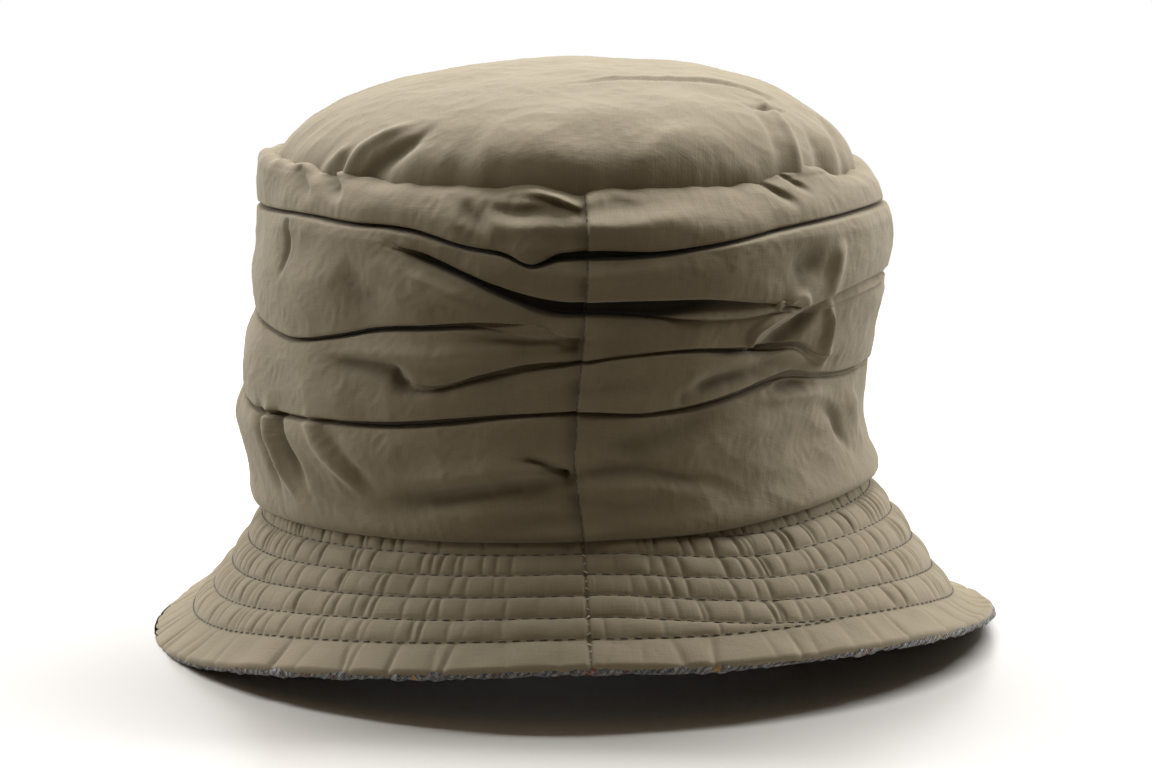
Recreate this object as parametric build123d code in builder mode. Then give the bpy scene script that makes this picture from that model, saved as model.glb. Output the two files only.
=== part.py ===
from build123d import *
import os
from math import atan2, cos, degrees, hypot, sqrt

# Bucket hat: a ruched crown over a lining, and a quilted brim that flares down from it.
#
# +Z is up, and the origin lies on the surface that the hat stands on, below the crown's middle.
# X runs from ear to ear and Y from front to back, with the front towards -Y. Left and right are
# as seen from the front. Sizes are in millimetres, and angles in degrees.
#
# The crown's plies are turned about Z and then stretched front to back, so that plies that nest
# in the round stay nested in the oval. The brim's plies are cones stacked straight down.

# ---- driving dimensions -------------------------------------------------------------------

head_width = 170.0  # head opening, ear to ear, inside the sweatband
head_length = 193.0  # head opening, front to back

sweatband_ply = 1.0
sweatband_height = 32.0
lining_ply = 1.4
stay_ply = 0.8  # stiffening that the ruched cloth is gathered onto
cloth_ply = 1.2
wadding_ply = 1.8
tweed_ply = 1.4
thread = 0.35
ply_gap = 0.15  # air between two plies
seat_gap = 0.05  # air under a thread that lies on cloth

wall_fabric = 1.5  # the wall's thickness at the bottom of a tuck
fold_bulge = 3.4  # how far a fold stands out from there
fold_heights = (33.0, 23.5, 28.0)  # from the brim up
roll_height = 13.5  # the rolled fold round the crown's top edge
roll_inset = 2.5  # how far the roll reaches in over the lining
roll_overhang = 2.4  # how far it stands out over the bottom of a tuck

dome_rise = 36.0  # from the tip's edge to its middle
dome_air = 5.0  # between the tip and its lining, at the middle

brim_drop = 41.0  # from the crown to the edge, at the sides
side_flare = 33.0
front_flare = 43.0
front_lift = 16.0  # how far the edge rises at the front and the back
rest_length = 110.0  # the level stretch of the edge, at each side
edge_reveal = 2.5  # tweed that shows below the cloth's edge

row_count = 5  # rows of stitching round the brim
row_first = 6.6  # from the crown, along the brim's side
row_spacing = 7.7
seam_stitch = 4.6  # length of one stitch of the brim's cross seams
sweatband_stitch_height = 2.5

# ---- sizes that follow --------------------------------------------------------------------

oval = head_length / head_width

sweatband_in = head_width / 2
lining_in = sweatband_in + sweatband_ply + ply_gap
lining_out = lining_in + lining_ply
stay_in = lining_out + ply_gap
wall_in = stay_in + stay_ply + ply_gap
wall_out = wall_in + wall_fabric
roll_in = wall_in - roll_inset
roll_out = wall_out + roll_overhang

side_slant = hypot(side_flare, brim_drop)
side_angle = atan2(brim_drop, side_flare)


def straight_down(ply):
    """Vertical thickness of a brim ply, from its thickness square to the brim's side."""
    return ply / cos(side_angle)


wadding_top = straight_down(cloth_ply + ply_gap)
wadding_bottom = wadding_top + straight_down(wadding_ply)
tweed_top = wadding_bottom + straight_down(ply_gap)
tweed_bottom = tweed_top + straight_down(tweed_ply)

wall_bottom = brim_drop - tweed_bottom
roll_bottom = brim_drop + sum(fold_heights)
roll_middle = roll_bottom + roll_height / 2

tip_edge = roll_in - ply_gap
tip_top = roll_middle + dome_rise

# The lining's dome starts lower than the tip's, just so far that it clears the roll.
lining_top = tip_top - cloth_ply - dome_air
lining_slope = sqrt(1 - ((roll_in - 2 * ply_gap) / lining_out) ** 2)
lining_shoulder = (lining_top - roll_bottom) * lining_slope / (1 - lining_slope)
lining_base = roll_bottom - lining_shoulder
lining_rise = lining_top - lining_base

junction_x = wall_out + ply_gap
junction_y = junction_x * oval
edge_y = junction_y + front_flare
spread_x = side_flare / brim_drop  # how fast the brim's oval grows on its way down
spread_y = front_flare / (brim_drop - front_lift)
overrun = 8.0  # how far a brim cone runs past its own two edges, for a clean cut


# ---- shared shapes ------------------------------------------------------------------------


def tube_section(inner, ply, bottom, top):
    """Section of an upright tube wall, for a sketch in which X is the radius."""
    with Locations((inner, bottom)):
        Rectangle(ply, top - bottom, align=Align.MIN)


def dome_section(base, radius, rise, ply):
    """Section of a dome: a quarter of an elliptical ring that stands on its base height."""
    with Locations((0, base)):
        Ellipse(radius, rise)
        Ellipse(radius - ply, rise - ply, mode=Mode.SUBTRACT)
        Rectangle(radius, rise, align=Align.MIN, mode=Mode.INTERSECT)


def wall_section(stretch=1.0, grow=0.0, mode=Mode.ADD):
    """Section of the ruched wall: a flat band, half an ellipse for each fold, and the roll."""
    with Locations((wall_in * stretch, wall_bottom)):
        Rectangle(wall_fabric * stretch + grow, roll_middle - wall_bottom, align=Align.MIN, mode=mode)
    fold_bottom = brim_drop
    for height in fold_heights:
        with Locations((wall_out * stretch, fold_bottom + height / 2)):
            Ellipse(fold_bulge * stretch + grow, height / 2, mode=mode)
        fold_bottom += height
    with Locations((0, wall_bottom)):
        Rectangle(wall_in * stretch, roll_bottom - wall_bottom, align=Align.MIN, mode=Mode.SUBTRACT)
    with Locations(((roll_in + roll_out) / 2 * stretch, roll_middle)):
        Ellipse((roll_out - roll_in) / 2 * stretch + grow, roll_height / 2 + grow, mode=mode)


def brim_cone(depth):
    """Everything under the brim's upper face, once that is lowered by depth."""
    with BuildPart() as cone:
        for level in (brim_drop + overrun, -overrun):
            below = brim_drop - level
            with BuildSketch(Plane.XY.offset(level - depth)):
                Ellipse(junction_x + spread_x * below, junction_y + spread_y * below)
        loft(ruled=True)
    return cone.part


def saddle(share=1.0, raised=0.0):
    """Everything under a line round the brim, at a share of the way from crown to edge.

    The line is level beside the ears and sweeps up to the front and the back in tangent arcs.
    """
    level = brim_drop * (1 - share) + raised
    reach = junction_y + share * front_flare
    far_past = spread_y * (brim_drop + 2 * overrun)
    with BuildPart() as block:
        with BuildSketch(Plane.YZ):
            with BuildLine():
                flat = Line((0, level), (rest_length / 2, level))
                sweep = TangentArc(flat @ 1, (reach, level + share * front_lift), tangent=flat % 1)
                out = Line(sweep @ 1, sweep @ 1 + (sweep % 1) * far_past)
                Polyline(out @ 1, ((out @ 1).X, -2 * overrun), (0, -2 * overrun), flat @ 0)
            make_face()
            mirror(about=Plane.YZ)
        extrude(amount=junction_x + side_flare + overrun, both=True)
    return block.part


def crown_column():
    """The upright oval column that the brim is cut out by, where it meets the wall."""
    with BuildPart() as column:
        with BuildSketch(Plane.XY.offset(-overrun)):
            Ellipse(junction_x, junction_y)
        extrude(amount=brim_drop + 3 * overrun)
    return column.part


def write(shape, name):
    """Labels a finished piece and writes it as one STEP file."""
    shape.label = name
    export_step(shape, f"parts/{name}.step")


def write_halves(whole, name):
    """Cuts a piece at its front and back seams, and writes the left and the right half."""
    for side, keep in (("left", Keep.BOTTOM), ("right", Keep.TOP)):
        with BuildPart() as half:
            add(whole)
            split(bisect_by=Plane.YZ, keep=keep)
        write(half.part, f"{name}_{side}")


os.makedirs("parts", exist_ok=True)

# ---- crown --------------------------------------------------------------------------------

with BuildPart() as tip:
    with BuildSketch(Plane.XZ):
        dome_section(roll_middle, tip_edge, dome_rise, cloth_ply)
    revolve(axis=Axis.Z)
    scale(by=(1, oval, 1))
write(tip.part, "tip")

with BuildPart() as tip_lining:
    with BuildSketch(Plane.XZ):
        dome_section(lining_base, lining_out, lining_rise, lining_ply)
    revolve(axis=Axis.Z)
    scale(by=(1, oval, 1))
write(tip_lining.part, "tip_lining")

with BuildPart() as wall:
    with BuildSketch(Plane.XZ):
        wall_section()
    revolve(axis=Axis.Z)
    scale(by=(1, oval, 1))
write_halves(wall.part, "wall")

with BuildPart() as wall_stay:
    with BuildSketch(Plane.XZ):
        tube_section(stay_in, stay_ply, wall_bottom, roll_bottom - ply_gap)
    revolve(axis=Axis.Z)
    scale(by=(1, oval, 1))
write(wall_stay.part, "wall_stay")

with BuildPart() as lining:
    with BuildSketch(Plane.XZ):
        tube_section(lining_in, lining_ply, wall_bottom, lining_base - ply_gap)
    revolve(axis=Axis.Z)
    scale(by=(1, oval, 1))
write_halves(lining.part, "lining")

with BuildPart() as sweatband:
    with BuildSketch(Plane.XZ):
        tube_section(sweatband_in, sweatband_ply, wall_bottom, wall_bottom + sweatband_height)
    revolve(axis=Axis.Z)
    scale(by=(1, oval, 1))
write(sweatband.part, "sweatband")

with BuildPart() as sweatband_stitch:
    with BuildSketch(Plane.XZ):
        with Locations((sweatband_in - seat_gap, wall_bottom + sweatband_stitch_height)):
            Rectangle(thread, 2 * thread, align=(Align.MAX, Align.CENTER))
    revolve(axis=Axis.Z)
    scale(by=(1, oval, 1))
write(sweatband_stitch.part, "sweatband_stitch")

# ---- brim ---------------------------------------------------------------------------------

column = crown_column()
face_cone = brim_cone(0)
underside_cone = brim_cone(tweed_bottom)
cloth_edge = saddle(raised=edge_reveal)

with BuildPart() as brim_top:
    add(face_cone)
    add(brim_cone(straight_down(cloth_ply)), mode=Mode.SUBTRACT)
    add(cloth_edge, mode=Mode.SUBTRACT)
    add(column, mode=Mode.SUBTRACT)
write_halves(brim_top.part, "brim_top")

with BuildPart() as brim_wadding:
    add(brim_cone(wadding_top))
    add(brim_cone(wadding_bottom), mode=Mode.SUBTRACT)
    add(cloth_edge, mode=Mode.SUBTRACT)
    add(column, mode=Mode.SUBTRACT)
write_halves(brim_wadding.part, "brim_wadding")

# The tweed lies under the wadding and turns up round its edge, as far as the cloth.
with BuildPart() as turned_edge:
    add(face_cone)
    add(saddle(raised=edge_reveal - ply_gap), mode=Mode.INTERSECT)

with BuildPart() as brim_under:
    add(brim_cone(tweed_top))
    add(turned_edge.part)
    add(underside_cone, mode=Mode.SUBTRACT)
    add(saddle(), mode=Mode.SUBTRACT)
    add(column, mode=Mode.SUBTRACT)
write_halves(brim_under.part, "brim_under")

# ---- stitching ----------------------------------------------------------------------------

thread_top_cone = brim_cone(-straight_down(seat_gap + thread))
thread_seat_cone = brim_cone(-straight_down(seat_gap))

for row in range(row_count):
    share = (row_first + row * row_spacing) / side_slant
    with BuildPart() as stitch_row:
        add(thread_top_cone)
        add(thread_seat_cone, mode=Mode.SUBTRACT)
        add(saddle(share, raised=thread), mode=Mode.INTERSECT)
        add(saddle(share, raised=-thread), mode=Mode.SUBTRACT)
        add(column, mode=Mode.SUBTRACT)
    write(stitch_row.part, f"brim_stitch_row_{row + 1}")

# Thread that follows the folds of the wall, down its front seam.
with BuildPart() as wall_seam:
    with BuildSketch(Plane.YZ):
        wall_section(stretch=oval, grow=seat_gap + thread)
        wall_section(stretch=oval, grow=seat_gap, mode=Mode.SUBTRACT)
        with Locations((wall_out * oval + seat_gap, brim_drop + thread)):
            Rectangle(
                2 * fold_bulge * oval,
                roll_middle - brim_drop,
                align=Align.MIN,
                mode=Mode.INTERSECT,
            )
    extrude(amount=thread, both=True)
write(wall_seam.part, "wall_back_seam")
write(mirror(wall_seam.part, about=Plane.XZ), "wall_front_seam")

# One stitch in each channel of the brim, across its back seam.
front_slope = atan2(brim_drop - front_lift, front_flare)
front_slant = hypot(brim_drop - front_lift, front_flare)

with BuildPart() as brim_seam:
    with BuildSketch(Plane.YZ):
        for row in range(row_count):
            share = (row_first + (row + 0.5) * row_spacing) / side_slant
            lies_at = (junction_y + share * front_flare, brim_drop - share * (brim_drop - front_lift))
            with Locations(Location((*lies_at, 0), (0, 0, -degrees(front_slope)))):
                with Locations((0, seat_gap)):
                    Rectangle(seam_stitch, thread, align=(Align.CENTER, Align.MIN))
    extrude(amount=thread, both=True)
write(brim_seam.part, "brim_back_seam")
write(mirror(brim_seam.part, about=Plane.XZ), "brim_front_seam")
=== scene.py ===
import bpy
import numpy as np
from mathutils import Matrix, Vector


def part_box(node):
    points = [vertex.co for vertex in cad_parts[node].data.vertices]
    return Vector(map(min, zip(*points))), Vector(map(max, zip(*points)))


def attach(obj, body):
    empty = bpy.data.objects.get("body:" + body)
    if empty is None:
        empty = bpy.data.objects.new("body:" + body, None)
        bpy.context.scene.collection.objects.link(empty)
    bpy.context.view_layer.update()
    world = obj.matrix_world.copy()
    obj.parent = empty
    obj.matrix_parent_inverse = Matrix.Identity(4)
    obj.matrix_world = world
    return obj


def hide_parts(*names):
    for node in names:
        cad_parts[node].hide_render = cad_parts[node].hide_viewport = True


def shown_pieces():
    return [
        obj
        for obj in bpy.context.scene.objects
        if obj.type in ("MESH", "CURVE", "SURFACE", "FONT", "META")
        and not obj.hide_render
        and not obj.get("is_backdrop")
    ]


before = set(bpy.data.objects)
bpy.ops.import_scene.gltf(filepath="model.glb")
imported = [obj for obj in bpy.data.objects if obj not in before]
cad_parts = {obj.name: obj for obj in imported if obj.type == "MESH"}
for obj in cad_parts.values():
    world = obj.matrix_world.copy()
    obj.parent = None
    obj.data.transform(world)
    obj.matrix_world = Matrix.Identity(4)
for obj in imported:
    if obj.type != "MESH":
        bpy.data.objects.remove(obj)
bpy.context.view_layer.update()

# Bucket hat: a ruched crown wall under a soft domed tip, and a quilted brim over checked tweed.
#
# Shapes are worked out in millimetres, in the frame's axes: +Z up, the front along -Y. A place
# round the hat is an angle in degrees from the front seam, which grows towards +X.

MM = 0.001  # metres in a millimetre


def corners(node):
    """The lowest and the highest corner of a node, in millimetres."""
    low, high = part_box(node)
    return np.array(low) / MM, np.array(high) / MM


# ---- sizes, from the frame ------------------------------------------------------------------

_, wall_high = corners("wall_right")
_, under_high = corners("brim_under_right")
_, top_high = corners("brim_top_right")
tip_low, tip_high = corners("tip")
lining_low, lining_high = corners("lining_right")
dome_lining_low, dome_lining_high = corners("tip_lining")
band_low, band_high = corners("sweatband")
_, stay_high = corners("wall_stay")
_, band_stitch_high = corners("sweatband_stitch")
band_stitch_radius = band_high[0] - 1.2  # the thread lies on the ribbon, inside the hat

crown_oval = wall_high[1] / wall_high[0]  # front to back against ear to ear
wall_radius = wall_high[0] - 1.2  # where the ruched cloth lies when no tuck pulls it in
outline_share = 1.07  # the crown's outline against that of a circle of its half-width
brim_side = under_high[0]
brim_front = under_high[1]
brim_oval = brim_front / brim_side
tip_edge_height = tip_low[2]
brim_slant = 52.5  # along the brim's side, from the wall to the edge

row_first = 5.3  # the first row of stitching, down the brim's slope from the wall
row_spacing = 8.7
row_turns = 5
stitch_length = 2.2
stitch_gap = 1.5
thread_radius = 0.2
quilt_rise = 1.7  # how far a channel stands out between two rows

# Millimetres to a degree, round the wall, half way down the brim and near the brim's edge.
wall_degree = np.radians(1) * wall_radius * outline_share
brim_degree = np.radians(1) * 112
edge_degree = np.radians(1) * 128


# ---- lines round the hat --------------------------------------------------------------------


def smooth_line(at, places):
    """A smooth line through (place, value) pairs: a cubic between each two of them, whose slope at
    a pair is that between its neighbours. It stays level beyond its ends."""
    spots, values = np.array(places, float).T
    at = np.clip(at, spots[0], spots[-1])
    slopes = np.gradient(values, spots)
    i = np.clip(np.searchsorted(spots, at) - 1, 0, len(spots) - 2)
    span = spots[i + 1] - spots[i]
    t = (at - spots[i]) / span
    start = (1 + 2 * t) * (1 - t) ** 2 * values[i] + t * (1 - t) ** 2 * span * slopes[i]
    end = t * t * (3 - 2 * t) * values[i + 1] - t * t * (1 - t) * span * slopes[i + 1]
    return start + end


def round_line(degrees, places):
    """The same line closed round the hat, for places given in degrees."""
    places = [tuple(place) for place in places]
    before = [(spot - 360, value) for spot, value in places[-2:]]
    after = [(spot + 360, value) for spot, value in places[:2]]
    return smooth_line((degrees + 180) % 360 - 180, before + places + after)


def smooth_step(t):
    """Rises from 0 to 1 as t goes from 0 to 1, level at both ends."""
    t = np.clip(t, 0, 1)
    return t * t * (3 - 2 * t)


def waves(u, v, seed, shortest, longest, count=36, stretch=1.0):
    """Even random undulation: the mean of plane waves of random direction, length and phase,
    scaled to a spread of about one. A stretch over one draws it out along u."""
    rng = np.random.default_rng(seed)
    total = np.zeros(np.broadcast(u, v).shape)
    for turn, length, phase in zip(
        rng.uniform(0, np.pi, count),
        rng.uniform(shortest, longest, count),
        rng.uniform(0, 2 * np.pi, count),
    ):
        k = 2 * np.pi / length
        total += np.cos(k * (np.cos(turn) * u / stretch + np.sin(turn) * v) + phase)
    return total * np.sqrt(2 / count)


# How far the wall's hem is above the top of the CAD brim's cloth, by degrees.
HEM = [(-180, 0.5), (-140, -1.5), (-82, -3), (-59, -2), (-30, -0.5), (0, 1.2), (27, 2.5), (40, 4),
       (65, 6), (100, 5), (140, 2.5)]

# Height of the brim's edge, by degrees.
EDGE = [(-180, 16), (-150, 12.5), (-122, 3.6), (-104, -0.4), (-86, -0.8), (-62, 3.2), (-46, 8), (-24, 13),
        (-2, 16.6), (17, 16), (41, 15), (64, 11.5), (81, 7.5), (98, 4), (115, 2.2), (135, 5), (158, 12)]


def hem_line(degrees):
    """Height of the wall's hem, where the brim starts."""
    return top_high[2] + round_line(degrees, HEM)


def edge_line(degrees):
    """Height of the lower edge of the brim's cloth: down at the ears, up at front and back."""
    return round_line(degrees, EDGE) + 0.6


# ---- meshes ---------------------------------------------------------------------------------


def make_piece(name, points, faces, uv, material, nodes=()):
    """A smooth-shaded mesh piece from points in millimetres, which rides on the hat's one body.
    Its faces are a list of arrays, each of faces with one number of corners."""
    loops = np.concatenate([part.ravel() for part in faces])
    sizes = np.concatenate([np.full(len(part), part.shape[1]) for part in faces])
    mesh = bpy.data.meshes.new(name)
    mesh.vertices.add(len(points))
    mesh.vertices.foreach_set("co", (points * MM).ravel())
    mesh.loops.add(len(loops))
    mesh.loops.foreach_set("vertex_index", loops)
    mesh.polygons.add(len(sizes))
    mesh.polygons.foreach_set("loop_start", np.cumsum(sizes) - sizes)
    mesh.polygons.foreach_set("use_smooth", np.ones(len(sizes), bool))
    mesh.update(calc_edges=True)
    if uv is not None:
        layer = mesh.uv_layers.new(name="cloth")
        layer.data.foreach_set("uv", (uv[loops] * MM).ravel())
    mesh.validate()
    piece = bpy.data.objects.new(name, mesh)
    bpy.context.scene.collection.objects.link(piece)
    mesh.materials.append(material)
    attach(piece, "root")
    if nodes:
        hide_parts(*nodes)
    return piece


def grid_faces(rows, columns, wrap=False, flip=False):
    """Quads between the points of a grid that is stored row by row."""
    i, j = np.meshgrid(np.arange(rows - 1), np.arange(columns - (not wrap)), indexing="ij")
    right = (j + 1) % columns
    here, below = i * columns, (i + 1) * columns
    quads = np.stack((here + j, here + right, below + right, below + j), -1).reshape(-1, 4)
    return quads[:, ::-1] if flip else quads


def cloth_piece(name, grid, uv, material, nodes=(), flip=False):
    """A piece of cloth from a grid of points, with its own flat length and width as UV."""
    rows, columns = grid.shape[:2]
    faces = grid_faces(rows, columns, flip=flip)
    return make_piece(name, grid.reshape(-1, 3), [faces], uv.reshape(-1, 2), material, nodes)


def keep_attribute(piece, name, values):
    """Stores one number for each point of a piece, for its material to read."""
    attribute = piece.data.attributes.new(name, "FLOAT", "POINT")
    attribute.data.foreach_set("value", np.asarray(values, np.float32).ravel())


def oval_points(degrees, radius, height, oval):
    """Points at an angle round the hat, on ovals of a given half-width, as one array."""
    turn = np.radians(degrees)
    x = radius * np.sin(turn)
    y = -radius * oval * np.cos(turn)
    return np.stack(np.broadcast_arrays(x, y, height), -1)


def grid_normals(grid, flip=False):
    """Unit normals of a grid of points, from the differences along its rows and columns."""
    normal = np.cross(np.gradient(grid, axis=0), np.gradient(grid, axis=1))
    normal /= np.linalg.norm(normal, axis=-1, keepdims=True) + 1e-12
    return -normal if flip else normal


def even_rows(lengths, count, *layers):
    """Resamples columns of a grid so that their rows are evenly spaced along the cloth.

    lengths is the distance along each column. Each column is moved to its own stretch of one
    long rising line, so that a single interpolation serves them all.
    """
    columns = lengths.shape[1]
    share = lengths / lengths[-1]
    offset = 2.0 * np.arange(columns)
    known = (share + offset).T.ravel()
    wanted = (np.linspace(0, 1, count)[:, None] + offset).T.ravel()
    return [np.interp(wanted, known, layer.T.ravel()).reshape(columns, count).T for layer in layers]


# ---- the ruched wall ------------------------------------------------------------------------

# Each tuck is a line round part of the wall. Above it the cloth hangs over as a lip, and below it
# the cloth is pulled in. Its places are (degrees, height of the lip, depth, height of the gap).
TUCKS = {
    "ring": [(-180, 126.5, 3.2, 1.2), (-130, 127, 3.2, 1.2), (-84, 126, 3.2, 1.2), (-59, 127.5, 3.0, 1.0),
             (-45, 127, 3.4, 1.2), (-33, 126.6, 3.8, 1.0), (-21, 122.8, 5.0, 1.0), (-14, 121.2, 5.6, 1.0),
             (-9.5, 118.4, 5.6, 0.9), (-5, 121.2, 6.4, 2.0), (0, 122.0, 6.4, 2.4), (12, 121.6, 5.8, 1.4),
             (24, 123.4, 4.0, 1.0), (37, 125.9, 3.4, 1.0), (55, 127.5, 3.2, 1.1), (85, 127.3, 3.2, 1.2),
             (130, 126, 3.4, 1.3)],
    "upper": [(-180, 105, 0, 1), (-60, 124, 0, 1), (-40, 123, 0, 1), (-35.5, 122, 0.9, 1.2),
              (-30, 120.3, 4.2, 2.2),
              (-21, 115.6, 5.6, 2.0), (-12, 111, 6.4, 2.8), (-5, 108.8, 6.8, 3.6), (3, 108.3, 6.6, 3.6),
              (13, 108.4, 5.6, 4.6), (22, 108.2, 4.2, 5.4), (30, 106.6, 3.0, 4.2), (36, 105.4, 1.8, 2.6),
              (42, 103.6, 1.2, 2.4), (51, 105.9, 1.9, 3.4), (60, 107.6, 2.0, 3.6), (74, 107.9, 2.6, 3.0),
              (95, 107, 2.8, 2.2), (120, 108, 3.6, 2.6), (150, 106, 3.2, 2.4)],
    "middle_left": [(-180, 98, 1.5, 3), (-140, 97, 2.8, 2.4), (-105, 98.5, 3.2, 2.2), (-82, 97.4, 3.6, 2.2),
                    (-68, 94, 2.4, 1.2), (-58, 93, 2.8, 1.2), (-46, 96, 3.4, 1.3), (-37, 99.2, 3.6, 1.4),
                    (-26, 101.2, 3.4, 1.6), (-17, 102.6, 2.6, 2.0), (-9, 101.8, 1.2, 3.0),
                    (-2, 98.5, 0.9, 2.0),
                    (4, 97, 0, 2.0), (120, 99, 0, 2.0)],
    "middle": [(-180, 88, 2.6, 2.2), (-150, 86, 1.0, 2.2), (-120, 85, 0, 2.2), (-36, 84.6, 0, 2.0),
               (-28, 84.6, 0.8, 2.4), (-23, 84.8, 2.4, 1.6), (-16.5, 88.2, 3.0, 2.0), (-9, 91.4, 2.8, 2.2),
               (0, 92.6, 2.5, 1.2), (9, 93.9, 2.2, 1.0), (19, 94.9, 2.6, 1.1), (28, 94.2, 3.2, 1.5),
               (36, 93.8, 3.2, 2.2), (43, 93.6, 2.6, 2.4), (48, 89.8, 2.2, 2.0), (52, 87.2, 0.6, 1.6),
               (58, 86, 0, 2), (110, 87, 0, 2), (135, 88, 2.4, 2.4)],
    "lower": [(-180, 74, 3.2, 2.4), (-140, 73, 3.0, 2.2), (-105, 76, 3.0, 2.2), (-92, 76.5, 3.2, 2.0),
              (-84, 74, 2.6, 1.6), (-73, 70.6, 2.8, 1.4), (-60, 71.2, 2.6, 1.4), (-46, 72.4, 2.6, 1.4),
              (-34, 73.4, 3.4, 1.8), (-20, 76, 3.4, 1.8), (-9, 78, 2.8, 1.2), (0, 78.9, 2.4, 1.0),
              (12, 78.1, 2.4, 1.2),
              (21, 79.3, 2.8, 1.6), (29.7, 81.6, 3.2, 2.0), (36, 83.6, 3.4, 2.2), (43, 85.4, 3.2, 2.4),
              (51, 83.6, 2.6, 2.0), (60, 82.1, 2.4, 2.0), (75, 82, 1.8, 2.0), (105, 79, 2.8, 2.0),
              (140, 76, 3.0, 2.2)],
}

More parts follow.
